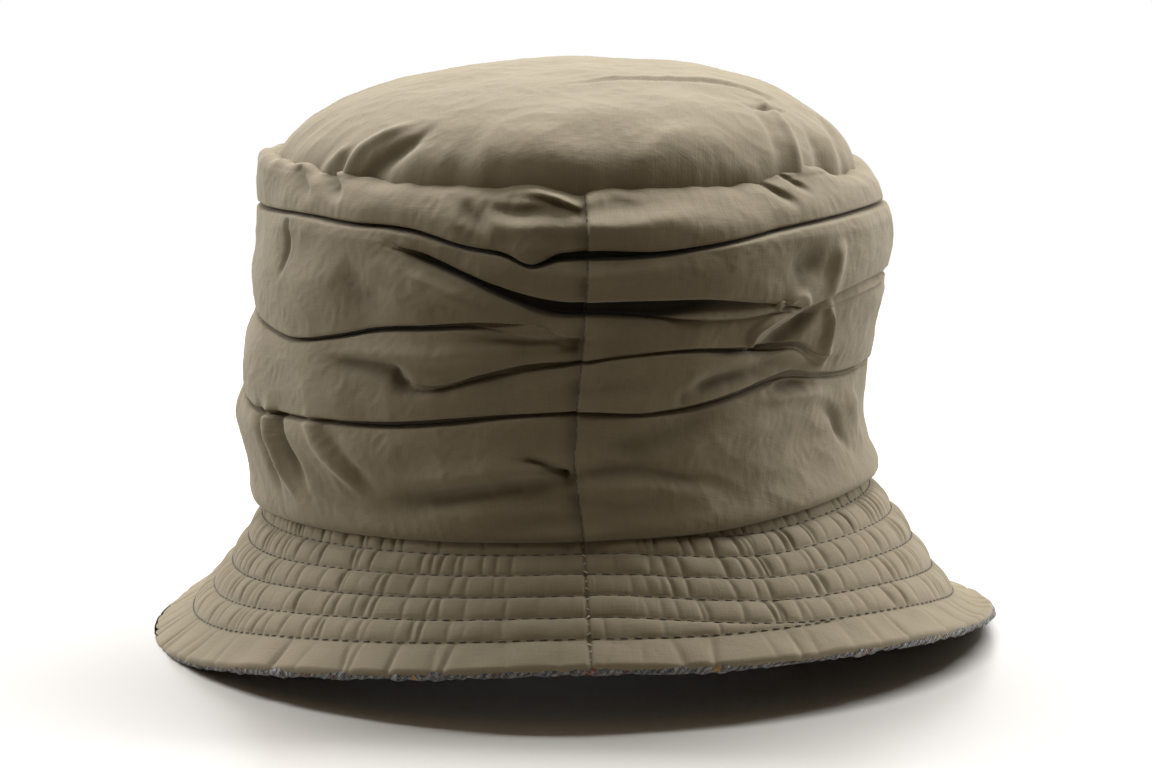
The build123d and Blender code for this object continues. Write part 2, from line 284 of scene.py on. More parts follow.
# Soft folds: a name for what is seen, then (degrees, height) places along the fold, how far it
# stands out, or in if less than nothing, its width above and below, and how full its two ends are.
SOFT_FOLDS = [
    ("pinch, slit by the seam", [(-9, 65.5), (-5, 64.4), (-1.2, 62.4)], -1.6, 1.0, 0.8, 0.2, 1.0),
    ("pinch, slit below", [(-6.5, 63.3), (-4, 62.8), (-1.2, 61.8)], -1.2, 0.7, 0.7, 0.2, 1.0),
    ("pinch, valley to the left", [(-1.5, 61), (-9, 58.8), (-18, 56), (-27, 53), (-35, 50)],
     -1.3, 2.2, 3.0, 0.9, 0.0),
    ("pinch, ridge over it", [(-1.5, 63.5), (-12, 61.8), (-24, 58.5), (-36, 56.5)], 0.9, 3.4, 2.6, 0.7, 0.0),
    ("pinch, valley to the right", [(1.2, 62.4), (7, 62.8), (14, 61.6), (22, 59), (30, 57)],
     -1.0, 1.8, 3.6, 1.0, 0.0),
    ("pinch, ridge to the right", [(1.5, 59.5), (10, 58.6), (20, 55.6), (30, 53.5)], 0.7, 2.8, 3.2, 0.5, 0.0),
    ("ridge at the hem", [(-30, 48), (-14, 50.5), (-4, 52)], 0.7, 3.5, 3.5, 0.0, 0.2),
    ("broad valley, lower right", [(2, 70), (12, 69.5), (22, 74), (32, 77)], -1.2, 4.0, 5.0, 0.2, 0.0),
    ("ridge, lower right", [(10, 64.5), (24, 67), (38, 73), (48, 76)], 1.0, 4.0, 5.0, 0.0, 0.0),
    ("fold off the left corner", [(-68, 71), (-66, 62), (-63, 52), (-61, 45)], -1.1, 2.2, 2.8, 0.7, 0.2),
    ("fold beside it", [(-61, 70.5), (-57.5, 64), (-54, 57), (-51.5, 49)], -1.5, 1.9, 2.4, 1.0, 0.1),
    ("ridge between them", [(-64, 71), (-61, 63), (-58, 54), (-55, 46)], 1.2, 2.2, 2.0, 1.0, 0.1),
    ("ridge further in", [(-50, 71), (-46, 64), (-41, 57), (-38, 51)], 1.1, 2.6, 2.0, 0.9, 0.1),
    ("hollow further in", [(-46, 70.5), (-41.5, 63.5), (-37.5, 57), (-34.5, 52)], -0.9, 3.0, 2.6, 0.5, 0.1),
    ("crossing hollow", [(-50, 88.6), (-41, 88.6), (-33, 88.2), (-29.5, 85.6)], -1.2, 1.4, 2.6, 0.0, 0.8),
    ("crossing ridge", [(-46, 92), (-34, 92.4), (-24, 92.8), (-12, 95)], 1.0, 2.6, 2.2, 0.0, 0.6),
    ("hollow under the crossing", [(-32, 88), (-30.5, 84.5), (-27.5, 82.8), (-22, 83)],
     -1.0, 1.3, 1.6, 0.6, 0.4),
    ("pucker at the seam", [(-22, 97), (-12, 97.6), (-5, 98), (-1, 98)], -1.1, 1.4, 1.8, 0.0, 1.0),
    ("second pucker", [(-14, 94.6), (-6, 95.4), (-1, 96.2)], -0.6, 0.9, 1.0, 0.0, 1.0),
    ("right pocket", [(33.5, 94.6), (38, 97.4), (43, 100.6), (47.5, 103.6)], -2.4, 2.0, 2.6, 0.7, 0.0),
    ("right pocket's rim", [(31.5, 93.6), (31.2, 97.4), (35, 101), (41, 104)], 1.1, 1.2, 1.2, 0.6, 0.2),
    ("ridge out of the pocket", [(48.5, 104), (50.5, 98), (50.5, 92), (52, 88)], 1.3, 1.8, 1.8, 0.3, 0.6),
    ("hook by the upper tuck", [(35.8, 105), (38.6, 107.4), (41.4, 106.8), (43.4, 104)],
     1.0, 1.1, 1.1, 0.8, 0.4),
    ("dent above the hook", [(38.6, 105.6), (39.6, 104.6), (40.6, 104.0)], -1.3, 0.8, 0.8, 0.6, 0.6),
    ("upper right hollow", [(37, 112), (42, 115), (46, 113)], -1.4, 5.0, 4.0, 0.4, 0.4),
    ("upper right ridge", [(49, 109), (50, 116), (52, 122)], 0.9, 2.4, 2.8, 0.6, 0.0),
    ("hollow over the lower lip", [(19, 82.6), (22.5, 84.6), (27.5, 86.2), (33, 87.0), (40, 87)],
     -1.7, 2.0, 1.8, 0.3, 0.2),
    ("crease to the right notch", [(31, 90), (38, 89), (46, 87.4), (56, 86.4)], -0.8, 1.4, 1.6, 0.0, 0.4),
    ("right lower hollow", [(38, 80.6), (44, 81.4), (50, 80.4)], -1.8, 1.6, 2.0, 0.3, 0.3),
    ("right lower ridge", [(34, 78.4), (42, 78.6), (50, 78), (56, 77)], 0.9, 1.6, 2.0, 0.0, 0.2),
    ("right bulge", [(62, 76), (68, 68), (72, 62)], 1.2, 4.0, 4.0, 0.3, 0.4),
    ("right bulge's crease", [(52, 74), (58, 70), (62, 63), (66, 58)], -1.1, 2.0, 2.4, 0.2, 0.2),
    ("left shoulder crease", [(-64, 124), (-63, 116), (-64, 106)], -0.7, 1.0, 1.2, 0.8, 0.0),
    ("left broad dip", [(-47, 117), (-40, 108), (-32, 110)], -1.1, 5.0, 6.0, 0.2, 0.2),
    ("ridge under the upper tuck", [(-37, 116.6), (-29, 113.4), (-20, 108.6), (-10, 104.6)],
     0.9, 2.0, 3.0, 0.1, 0.3),
    ("ring's dip, left", [(-24, 134), (-20, 130), (-16, 126)], -1.1, 2.6, 3.0, 0.3, 0.0),
    ("ring's hollow, left", [(-18, 132.6), (-12, 131.6), (-5, 133.6)], -1.0, 1.7, 2.0, 0.3, 0.6),
    ("ring's ridge to the seam", [(-14, 137.4), (-8, 137.4), (-4.5, 135.6), (-1.2, 133)],
     0.8, 1.2, 1.3, 0.2, 0.8),
    ("ring's fold to the seam", [(-11, 135.4), (-6, 134.6), (-1.2, 132)], -0.8, 0.9, 1.1, 0.2, 0.9),
    ("ring's dip, right", [(3, 136), (7, 134.4), (12, 131.6)], -0.4, 1.6, 2.4, 0.6, 0.0),
    ("ring's soft ridge, right", [(4, 129), (14, 130.4), (26, 131)], 0.7, 3.0, 3.0, 0.2, 0.0),
    ("ring's pleat, right", [(38, 138.4), (40.5, 134.6), (44, 131)], -1.3, 1.2, 1.6, 0.8, 0.0),
    ("ring's second pleat", [(45, 139), (46.5, 136.4), (49, 134)], -1.0, 1.0, 1.4, 0.8, 0.0),
    ("ring's pleat, left", [(-57, 139), (-53.5, 135.6), (-49, 132)], -1.6, 1.6, 2.0, 0.9, 0.0),
    ("ring's second pleat, left", [(-66, 138.8), (-62, 134.6), (-57, 131)], -0.9, 1.6, 2.0, 0.8, 0.0),
]


def back_folds():
    """Soft folds for the back half, which run much as those at the front do: from the back seam
    outwards, at random heights, with a few steep ones between the tucks."""
    rng = np.random.default_rng(31)
    folds = []
    for side in (-1, 1):
        for height in (54, 61, 68, 82, 93, 100, 112, 118):
            reach = rng.uniform(16, 42)
            drift = rng.uniform(-4, 4)
            places = [(side * (179 - reach * t), height + drift * t * t) for t in (0.01, 0.3, 0.65, 1.0)]
            folds.append(("back", places, rng.uniform(-1.5, 1.2), rng.uniform(1, 3), rng.uniform(1.4, 3),
                          0.9, 0.0))
        for start in (84, 96, 108, 121, 133):
            low, tilt = rng.uniform(48, 98), rng.uniform(-5, 5)
            places = [(side * start, low + 20), (side * (start + tilt * 0.6), low + 9),
                      (side * (start + tilt), low)]
            folds.append(("side", places, rng.uniform(-1.4, 0.8), rng.uniform(1.6, 3), rng.uniform(1.6, 3),
                          0.5, 0.1))
    return folds


def fold_shape(degrees, height, fold, metric):
    """How far a soft fold moves each point of the cloth out.

    The fold's places are joined by short straight pieces of a smooth curve. A point's move is a
    bell of its distance from the nearest piece, and fades towards each end of the fold.
    """
    _, places, amount, above, below, start, end = fold
    spots = np.array(places, float) * (metric, 1)
    knots = np.linspace(0, len(spots) - 1, 4 * (len(spots) - 1) + 1)
    i = np.clip(knots.astype(int), 0, len(spots) - 2)
    t = (knots - i)[:, None]
    slopes = np.gradient(spots, axis=0)
    line = (1 + 2 * t) * (1 - t) ** 2 * spots[i] + t * (1 - t) ** 2 * slopes[i]
    line += t * t * (3 - 2 * t) * spots[i + 1] - t * t * (1 - t) * slopes[i + 1]
    u, v = degrees * metric, height
    best = np.full(u.shape, 1e9)
    side = np.zeros(u.shape)
    share = np.zeros(u.shape)
    for k, (a, b) in enumerate(zip(line[:-1], line[1:])):
        step = b - a
        along = np.clip(((u - a[0]) * step[0] + (v - a[1]) * step[1]) / (step @ step), 0, 1)
        du, dv = u - a[0] - along * step[0], v - a[1] - along * step[1]
        distance = np.hypot(du, dv)
        nearer = distance < best
        best = np.where(nearer, distance, best)
        side = np.where(nearer, step[0] * dv - step[1] * du, side)
        share = np.where(nearer, (k + along) / (len(line) - 1), share)
    width = np.where(side * np.sign(line[-1, 0] - line[0, 0]) > 0, above, below)
    fade = start + (1 - start) * smooth_step(share / 0.35)
    fade = fade * (end + (1 - end) * smooth_step((1 - share) / 0.45))
    return amount * fade * np.exp(-((best / width) ** 2))


# How far the soft crown leans towards +X, by height.
LEAN = [(34, -0.5), (45, -1.8), (51, -3.4), (58, -5.2), (65, -6.8), (72.5, -5.6), (80, -5.1), (87, -3.7),
        (94, -2.2), (102, -1.1), (109, -0.2), (119, 0.9), (132, 0.5), (150, -0.6)]


def drawn_in(height):
    """How far the stiffening and the lining lie in above the sweatband, which leaves the tucks room."""
    return 3.4 * smooth_step((height - 64) / 10)


def slouch(degrees, height):
    """How far the soft crown leans, at a height: towards -X in its lower half, less at its seams."""
    return smooth_line(height, LEAN) * (1 - 0.5 * np.cos(np.radians(degrees)) ** 8)


def rim_lean(degrees):
    """How far the top of the roll leans in over the tip: most at the front, right of the seam."""
    return round_line(degrees, [(-180, 7), (-130, 4), (-90, 0.5), (-62, 5.6), (-35, 8.6), (0, 9.2), (24, 11),
                                (42, 9.6), (68, 7), (86, 6.4), (105, 5.4), (140, 5)])


def wall_surface(degrees, rows):
    """The wall's cloth for an array of angles, from the rolled top edge down to the hem.

    Down each column the cloth follows a straight band that ends in a round roll at the top. Every
    tuck then pulls the band in over its gap, in a plateau with steep sides, and draws the cloth
    just above down over the gap, so that a lip hangs there. The columns are then cut into rows
    that are even along the cloth.

    Gives the radius, the height, the height before any tuck, the depth of the tucks, and the
    distance along the cloth.
    """
    hem = hem_line(degrees)
    rim_turn = 3.4  # radius of the roll
    samples = 2400  # down each column, before it is cut into rows
    rim_start = 135.2 + round_line(degrees, [
        (-180, 0), (-120, 1), (-78, 1.6), (-58, 0.4), (-46, -0.6), (-33, -0.4), (-20, -0.6), (-11, 0.9),
        (-5, -0.4),
        (-1, -2.6), (2, -1.2), (12, -0.4), (39, -0.6), (47, 0.8), (54, 1.6), (66, -2.4), (90, -1),
        (130, 0.6)])
    rim_start = rim_start + 0.35 * waves(degrees * 1.6, 0 * degrees, 5, 7, 22)
    reach = rim_start + rim_turn * np.radians(165)
    h = hem + np.linspace(1, 0, samples)[:, None] * (reach - hem)
    curl = np.clip((h - rim_start) / rim_turn, 0, None)
    height = np.where(curl > 0, rim_start + rim_turn * np.sin(curl), h)
    radius = wall_radius + np.where(curl > 0, rim_turn * (np.cos(curl) - 1), 0.0)
    front = np.exp(-((degrees / 34) ** 2))
    back = np.exp(-(((np.abs(degrees) - 180) / 30) ** 2))
    body = smooth_step((h - hem) / 16) * smooth_step((126 - h) / 10)
    radius = radius + (2.4 * front + 1.6 * back) * body
    radius = radius - 0.5 * np.clip((h - 128) / 8, 0, 1) * (1 + front) + 1.3 * smooth_step((h - 92) / 10)
    radius = radius - rim_lean(degrees) * np.clip((h - 122.5) / 13.5, 0, 1.15) ** 1.35
    drop = np.zeros(h.shape)
    depth_all = np.zeros(h.shape)
    for places in TUCKS.values():
        table = np.array(places)
        lip = round_line(degrees, table[:, (0, 1)])
        depth = np.clip(round_line(degrees, table[:, (0, 2)]), 0, None)
        depth = depth + 0.55 * np.clip(depth - 2.4, 0, None)
        gap = np.clip(round_line(degrees, table[:, (0, 3)]), 0.6, None)
        t = h - lip - 0.9
        strength = smooth_step(depth / 1.5)
        ramp = gap * 0.45 + 0.5 + 1.6 * np.clip(gap - 0.6 * depth, 0, None)
        plateau = smooth_step((t + gap * 1.25 + 1.2) / ramp) * smooth_step((1.0 - t) / 1.1)
        radius = radius - depth * plateau
        radius = radius - 0.34 * depth * np.exp(-np.clip(t - 0.6, 0, None) / 3.2) * (t > -0.4) * (1 - plateau)
        radius = radius - 0.42 * depth * np.exp(-np.clip(-t - gap * 1.4, 0, None) / 6.5) * (t < -gap * 1.2)
        hang = np.clip(t, 0, None) / 0.8
        drop = drop + strength * 1.7 * hang * np.exp(1 - hang)
        depth_all = depth_all + depth * plateau
    radius = radius + 1.3 * np.exp(-(((h - hem - 3.5) / 5) ** 2))
    radius = radius - 3.4 * np.exp(-np.clip(h - hem, 0, None) / 0.8)
    height = height - drop
    steps = np.hypot(np.diff(radius, axis=0), np.diff(height, axis=0))
    lengths = np.concatenate((np.zeros((1, len(degrees))), np.cumsum(steps, axis=0)))
    lengths[1:] += 1e-9 * np.arange(1, len(lengths))[:, None]
    return even_rows(lengths, rows, radius, height, h, depth_all, lengths)


def wall_half(side, material, nodes):
    """One half of the wall, from the front seam round to the back one.

    The tucked surface gets its soft folds, then small rumples that run level near the seams,
    where the gathering thread pulls, and any way elsewhere. At the front the right half laps
    over the left one, with its edge turned under. Gives the grid, for the seams.
    """
    columns, rows = 380, 250
    degrees = side * 180 * np.linspace(0, 1, columns) ** 1.12
    radius, height, level, sunk, run = wall_surface(degrees, rows)
    across = np.broadcast_to(degrees, radius.shape)
    out = np.zeros(radius.shape)
    for fold in SOFT_FOLDS + back_folds():
        out += 1.85 * fold_shape(across, level, fold, wall_degree)
    u = across * wall_degree
    near_seam = np.exp(-((across / 12) ** 2)) + np.exp(-(((np.abs(across) - 180) / 12) ** 2))
    out += 0.34 * waves(u, level, 11, 16, 44, stretch=1.8)
    out += -0.16 * np.abs(waves(u, level, 12, 9, 22, stretch=1.5))
    out += -0.07 * np.abs(waves(u, level, 13, 3.5, 9))
    out += near_seam * 0.42 * waves(u, level, 14, 5, 10, stretch=5)
    edge = np.abs(across) * wall_degree
    if side > 0:
        out += 1.0 * np.exp(-((edge / 5) ** 2)) - 2.0 * np.exp(-((edge / 0.45) ** 2))
    else:
        out += -1.0 * np.exp(-((edge / 3) ** 2))
    out += -0.9 * np.exp(-(((np.abs(across) - 180) * wall_degree / 2.2) ** 2))
    body = smooth_step((level - hem_line(across)) / 3)
    radius = radius + out * (0.25 + 0.75 * body)
    least = stay_high[0] + 0.3 - drawn_in(height) - 9 * smooth_step((level - 122) / 12)
    radius = np.maximum(radius, least)
    grid = oval_points(across, radius, height, crown_oval)
    grid[..., 0] += slouch(across, height)
    uv = np.stack((u, -run), -1)
    name = "wall_cloth_right" if side > 0 else "wall_cloth_left"
    piece = cloth_piece(name, grid, uv, material, nodes, flip=side > 0)
    # How far the cloth stands out, for its colour: raised cloth is paler, as rubbed wear, and hollows are
    # darker, as painted shade.
    keep_attribute(piece, "wear_and_painted_shade", np.clip(out * 0.35, -1, 1))
    # Painted shadow: a dark line along the edge of the lap at the front seam, and painted shade inside the
    # tucks, darker the deeper they are.
    painted_lap_shadow = 0.85 * np.exp(-((edge / 0.4) ** 2)) * (side > 0)
    keep_attribute(piece, "tuck", np.maximum(smooth_step((sunk - 1.6) / 4.0), painted_lap_shadow))
    return grid


def inner_layer(name, material, nodes, radius, low, high, span, inner, seed):
    """A layer inside the wall: an oval tube, or half of one, that leans as the wall does, with
    slight level rumples. It faces the head if it is an inner one."""
    columns, rows = 240, 40
    degrees = np.broadcast_to(np.linspace(*span, columns), (rows, columns))
    height = np.broadcast_to(np.linspace(high, low, rows)[:, None], (rows, columns))
    u = degrees * np.radians(1) * radius
    rumple = 0.12 * waves(u, height, seed, 12, 40, stretch=2)
    grid = oval_points(degrees, radius - drawn_in(height) + rumple, height, crown_oval)
    grid[..., 0] += slouch(degrees, height)
    uv = np.stack((u, height), -1)
    piece = cloth_piece(name, grid, uv, material, nodes, flip=not inner)


# ---- the domed tip --------------------------------------------------------------------------

# Folds of the tip, by (x, y) places in plan, with the same meaning as the wall's soft folds.
TIP_FOLDS = [
    ("long tuck, low side", [(-8, -48.5), (5, -40), (27, -34.5), (47, -28.5), (55, -30)],
     -0.6, 0.8, 1.3, 0.0, 0.8),
    ("long tuck, high side", [(-8, -46.6), (5, -38.2), (27, -32.4), (47, -26.4), (55, -27)],
     0.5, 2.0, 0.9, 0.0, 0.8),
    ("pucker at its end", [(50, -44), (54, -41), (58, -37)], -2.0, 1.4, 1.4, 0.4, 0.4),
    ("ridge past the pucker", [(52, -36), (57.5, -47), (60.5, -56), (62, -64)], 1.5, 1.6, 1.6, 0.5, 0.8),
    ("hollow beside it", [(49, -46), (53.5, -54), (56, -62), (57, -70)], -1.1, 2.6, 2.2, 0.4, 0.6),
    ("left deep fold", [(-65, -60), (-60, -62.5), (-53, -65), (-45, -66), (-37, -63)],
     -3.0, 1.7, 3.2, 0.9, 0.0),
    ("ridge over the deep fold", [(-67, -56), (-60, -56.5), (-51, -59), (-42, -59)], 1.7, 2.4, 1.8, 0.7, 0.0),
    ("small fold outside it", [(-73, -46), (-68, -49), (-63, -50)], 1.2, 1.6, 1.6, 0.7, 0.0),
    ("hollow outside that", [(-71, -53), (-67, -53.4), (-62, -53)], -1.3, 1.5, 1.5, 0.8, 0.0),
    ("soft fold, front left", [(-31, -90), (-26, -82), (-24, -72), (-25, -62)], 0.35, 3.4, 3.4, 0.5, 0.0),
    ("soft hollow, front left", [(-37, -88), (-33, -78), (-33, -68)], -0.45, 4, 4, 0.6, 0.0),
    ("soft fold, middle", [(14, -95), (18, -84), (27, -74), (38, -68)], 0.8, 3.0, 4.0, 0.4, 0.0),
    ("soft hollow, right", [(33, -86), (38, -78), (46, -70), (52, -60)], -1.0, 3.6, 3.0, 0.5, 0.2),
    ("right radial fold", [(45, -82), (46, -76), (50, -68)], 1.0, 1.8, 2.0, 0.8, 0.0),
    ("right edge hollow", [(70, -52), (68, -44), (64, -34)], -1.4, 2.4, 2.4, 0.7, 0.0),
    ("right edge ridge", [(74, -44), (72, -36), (68, -24)], 1.3, 2.4, 2.6, 0.7, 0.0),
    ("right edge second hollow", [(78, -34), (75, -24), (70, -14)], -1.2, 2.2, 2.6, 0.7, 0.0),
    ("broad dip in the middle", [(-20, -50), (2, -46), (22, -52)], -0.4, 12.0, 10.0, 0.0, 0.0),
    ("rear soft fold", [(-40, 50), (-10, 58), (24, 52)], -0.8, 6.0, 5.0, 0.0, 0.0),
    ("rear ridge", [(40, 66), (34, 50), (36, 30)], 1.0, 4.0, 5.0, 0.6, 0.0),
    ("left rear fold", [(-72, 36), (-60, 30), (-46, 32)], -1.2, 3.0, 3.4, 0.8, 0.0),
    ("rear left ridge", [(-46, 74), (-40, 60), (-42, 46)], 1.1, 3.0, 3.0, 0.7, 0.0),
]


def tip_shape(half, low, high, folded):
    """The tip: a quarter ellipse turned round the crown, closed at its middle, with folds and with
    gathers that fan out from its edge. A gather is a ridge along a spoke that fades upwards. The
    lining's tip is a smaller one without the folds. Gives its points, its faces and how far each
    point of the grid was moved out."""
    columns, rows = (560, 150) if folded else (120, 30)
    degrees = np.linspace(-180, 180, columns, endpoint=False)
    rise = np.radians(90) * np.linspace(-0.02, 1, rows)[:-1, None]
    lift = high - low
    radius = half * np.abs(np.cos(rise)) ** 0.97 - rim_lean(degrees) * (1 - np.sin(rise))
    height = low + lift * np.sin(rise) + 0 * degrees
    across = np.broadcast_to(degrees, height.shape)
    radius = np.broadcast_to(radius, height.shape)
    grid = oval_points(across, radius, height, crown_oval)
    grid[..., 1] *= 1 + 0.05 * np.sin(2 * rise) ** 2
    up = np.stack((grid[..., 0] / half**2, grid[..., 1] / (half * crown_oval) ** 2,
                   (grid[..., 2] - low) / lift**2), -1)
    up /= np.linalg.norm(up, axis=-1, keepdims=True)
    from_edge = half * rise + 0 * degrees
    rng = np.random.default_rng(8)
    out = np.zeros(height.shape)
    for fold in TIP_FOLDS if folded else ():
        out += fold_shape(grid[..., 0], grid[..., 1], fold, 1.0)
    gathers = 64
    spokes = np.sort(rng.uniform(-180, 180, gathers))
    for spoke, strength, reach, width, lean in zip(
        spokes,
        rng.normal(0.1, 0.75, gathers),
        rng.uniform(5, 17, gathers),
        rng.uniform(1.0, 2.6, gathers),
        rng.uniform(-0.25, 0.25, gathers),
    ):
        apart = (across - spoke + 180) % 360 - 180
        apart = apart * np.radians(1) * half + lean * from_edge
        across_ridge = np.exp(-((apart / (width + 0.10 * from_edge)) ** 2))
        out += strength * across_ridge * np.exp(-((from_edge / reach) ** 2))
    x, y = grid[..., 0], grid[..., 1]
    out += 0.3 * waves(x, y, 21, 22, 60)
    out += -0.13 * np.abs(waves(x, y, 22, 8, 22))
    out += -0.05 * np.abs(waves(x, y, 23, 3.5, 9))
    out += 1.4 * np.exp(-(((x - 42) / 24) ** 2) - (y / 60) ** 2)
    out -= 0.5 * np.exp(-((x / 52) ** 2) - ((y + 60) / 24) ** 2)
    out *= (0.35 + 0.65 * smooth_step(from_edge / 5)) * (1.0 if folded else 0.4)
    grid = grid + up * out[..., None]
    top = grid[-1].mean(axis=0, keepdims=True)
    points = np.concatenate((grid.reshape(-1, 3), top))
    faces = grid_faces(rows - 1, columns, wrap=True)
    last = (rows - 2) * columns + np.arange(columns)
    cap = np.stack((last, np.roll(last, -1), np.full(columns, len(points) - 1)), -1)
    return points, [faces, cap], out


# ---- the quilted brim -----------------------------------------------------------------------


def spiral_turn(degrees):
    """How far the spiral of stitching has moved out, in rows: none at the front seam, nearly a row
    by 38 degrees to its right, and one row when it is back at the seam."""
    on = degrees % 360
    return 0.93 * smooth_step(on / 38) + 0.07 * on / 360


def brim_line(degrees, down):
    """Half-width and height of the brim's outer face, at a share of the way down its slope.

    It starts under the wall's hem. Both change evenly down to the edge, except that the height
    falls faster at first, so that the last channel flares out, mostly at the right, and that the
    face bows in a little at the sides.
    """
    flare = round_line(degrees, [(-180, 0.06), (-95, 0.04), (-60, 0.03), (0, 0.03), (45, 0.05), (75, 0.12),
                                 (95, 0.13), (130, 0.06)])
    start, end = hem_line(degrees) + 1.2, edge_line(degrees) + 0.6
    fall = down + flare * 9.48 * down**3 * (1 - down)
    start_radius = wall_radius - round_line(degrees, [(-180, 2), (-90, 2.6), (-45, 1.8), (0, 1.4), (45, 3),
                                                      (90, 5.4), (135, 4)])
    bow = round_line(degrees, [(-180, 0), (-90, -0.4), (-45, -0.1), (0, 0), (45, -0.03), (90, -0.1),
                               (135, -0.05)])
    out = down + bow * down * (1 - down)
    return start_radius + (brim_side - 0.6 - start_radius) * out, start + (end - start) * fall


def brim_oval_at(down):
    """The brim is longer front to back towards its edge than the crown is."""
    return crown_oval + (brim_oval - crown_oval) * smooth_step(down)


def brim_grid(degrees, down):
    """Points of the brim's outer face, for arrays of angles and of shares down the slope."""
    radius, height = brim_line(degrees, down)
    grid = oval_points(degrees, radius, height, brim_oval_at(down))
    grid[..., 0] += slouch(degrees, height) * (1 - 0.7 * smooth_step(down))
    return grid


def row_slant(number, degrees):
    """How far down the slope a turn of the spiral runs. Its end runs level for 38 degrees."""
    return row_first + row_spacing * (number + spiral_turn(degrees))


def quilt(degrees, slant, side):
    """How far the quilted cloth is sunk below the brim's outer face.

    Between two rows the cloth is an arch, a power of a sine, so that it meets each row steeply.
    Valleys cross the channels, because the thread draws the cloth up: each keeps near one angle
    from the wall to the edge, but wanders, and is deeper in some channels than in others.
    """
    on = degrees % 360
    last = np.where(on < 38, row_first + row_spacing * (row_turns - 1), row_slant(row_turns - 2, degrees))
    phase = (slant - row_first) / row_spacing - spiral_turn(degrees)
    wedge = row_slant(row_turns - 2, degrees)
    outer = slant > last
    between = (slant > wedge) & ~outer
    channel = np.where(outer, row_turns - 1, np.floor(phase))
    share = phase - np.floor(phase)
    share = np.where(between, (slant - wedge) / np.maximum(last - wedge, 0.3), share)
    share_out = (slant - last) / (brim_slant - last)
    size = np.where(between, np.clip((last - wedge) / row_spacing, 0, 1) ** 0.6, 1.0)
    arch = np.sin(np.pi * np.clip(share, 0, 1)) ** 0.55 * size
    arch_out = np.sin(np.pi * 0.62 * np.clip(share_out, 0, 1)) ** 0.62
    puff = quilt_rise * np.where(outer, arch_out, arch)
    rng = np.random.default_rng(40 + (side > 0))
    places = np.random.default_rng(50 + (side > 0)).gamma(5.0, 1.0, 66)
    places = 180 * np.cumsum(places) / places.sum()
    valleys = np.zeros(phase.shape)
    for number in range(-2, row_turns):
        is_outer = number == row_turns - 1  # the outermost channel has fewer and wider valleys
        here = outer if is_outer else channel == number
        rows = here.any(axis=1)
        wide = 2.1 if is_outer else 1.0
        kept = places[::2][:31] if is_outer else places
        total = len(kept)
        spots = side * (kept + rng.normal(0, 0.55, total))
        depths = np.clip(rng.normal(0.5, 0.3, total), 0.05, 1.0)
        leans = rng.normal(0.1 * side, 0.6, total) * wide
        widths = rng.uniform(0.5, 0.95, total) * (1.4 if is_outer else 1)
        for spot, depth, lean, width in zip(spots, depths, leans, widths):
            near = np.abs(degrees[0] - spot) < 5
            if not near.any():
                continue
            part = np.ix_(rows, near)
            where = np.where(here[part], (share_out if is_outer else share)[part], 0.5)
            apart = (degrees[part] - spot) * brim_degree + lean * (where - 0.5)
            valley = depth * here[part] / (1 + (apart / width) ** 2)
            valleys[part] = np.maximum(valleys[part], valley)
    calm = 0.5 + 0.5 * smooth_step((np.abs(degrees) - 4) / (12 if side > 0 else 36))
    puff = puff * (1 - 0.75 * valleys * calm)
    puff += 0.12 * waves(degrees * brim_degree, slant, 44, 9, 24) * np.clip(puff, 0, 1)
    return puff - quilt_rise


def brim_top_half(side, material, nodes):
    """One half of the brim's cloth: the quilted face, then the edge turned down and under.

    The turned edge is part of a circle below the end of the slope.
    """
    columns, rows, turn_rows = 900, 96, 8
    degrees = np.broadcast_to(side * 180 * np.linspace(0, 1, columns), (rows, columns))
    down = np.broadcast_to(np.linspace(0, 1, rows)[:, None], (rows, columns))
    smooth_face = brim_grid(degrees, down)
    normal = grid_normals(smooth_face, flip=side < 0)
    sunk = quilt(degrees, down * brim_slant, side)
    seam = np.abs(degrees) * edge_degree
    rear = (180 - np.abs(degrees)) * edge_degree
    sunk = sunk - 1.0 * np.exp(-((seam / 0.7) ** 2)) - 1.0 * np.exp(-((rear / 0.7) ** 2))
    face = smooth_face + normal * sunk[..., None]
    along = face[-1] - face[-4]
    along /= np.linalg.norm(along, axis=-1, keepdims=True)
    inward = -normal[-1]
    turn = np.radians(np.linspace(12, 150, turn_rows))[:, None, None]
    bend = 1.3  # radius of the turned edge
    curl = face[-1] + bend * (np.sin(turn) * along + (1 - np.cos(turn)) * inward)
    grid = np.concatenate((face, curl))
    grid[..., 2] = np.maximum(grid[..., 2], 0.1)
    u = degrees[0] * brim_degree
    v = np.concatenate((down[:, 0] * brim_slant, brim_slant + bend * turn[:, 0, 0]))
    uv = np.stack(np.broadcast_arrays(u, -v[:, None]), -1)
    name = "brim_cloth_right" if side > 0 else "brim_cloth_left"
    piece = cloth_piece(name, grid, uv, material, nodes, flip=side > 0)
    # Painted shade in the quilting grooves along the rows and at the seams; the channels' crowns are paler,
    # as rubbed wear.
    worn_and_painted_shade = np.concatenate((sunk + 0.6, np.full((turn_rows, columns), 0.3)))
    keep_attribute(piece, "wear_and_painted_shade", np.clip(worn_and_painted_shade * 0.5, -1, 1))


def brim_wadding_half(side, material, nodes):
    """One half of the wadding: a thin flat pad between the brim's cloth and the tweed, closed along
    both edges and open at its two ends, beside the seams."""
    columns, rows = 200, 24
    degrees = np.broadcast_to(side * np.linspace(0.8, 179.2, columns), (rows, columns))
    down = np.broadcast_to(np.linspace(0.1, 0.97, rows)[:, None], (rows, columns))
    face = brim_grid(degrees, down)
    normal = grid_normals(face, flip=side < 0)
    section = np.concatenate((face - 2.8 * normal, (face - 3.4 * normal)[::-1]))
    section = np.concatenate((section, section[:1]))
    section[..., 2] = np.maximum(section[..., 2], 0.4)
    uv = np.stack(np.broadcast_arrays(degrees[0], np.arange(len(section))[:, None] * 2.2), -1)
    name = "brim_wadding_pad_right" if side > 0 else "brim_wadding_pad_left"
    piece = cloth_piece(name, section, uv, material, nodes, flip=side > 0)


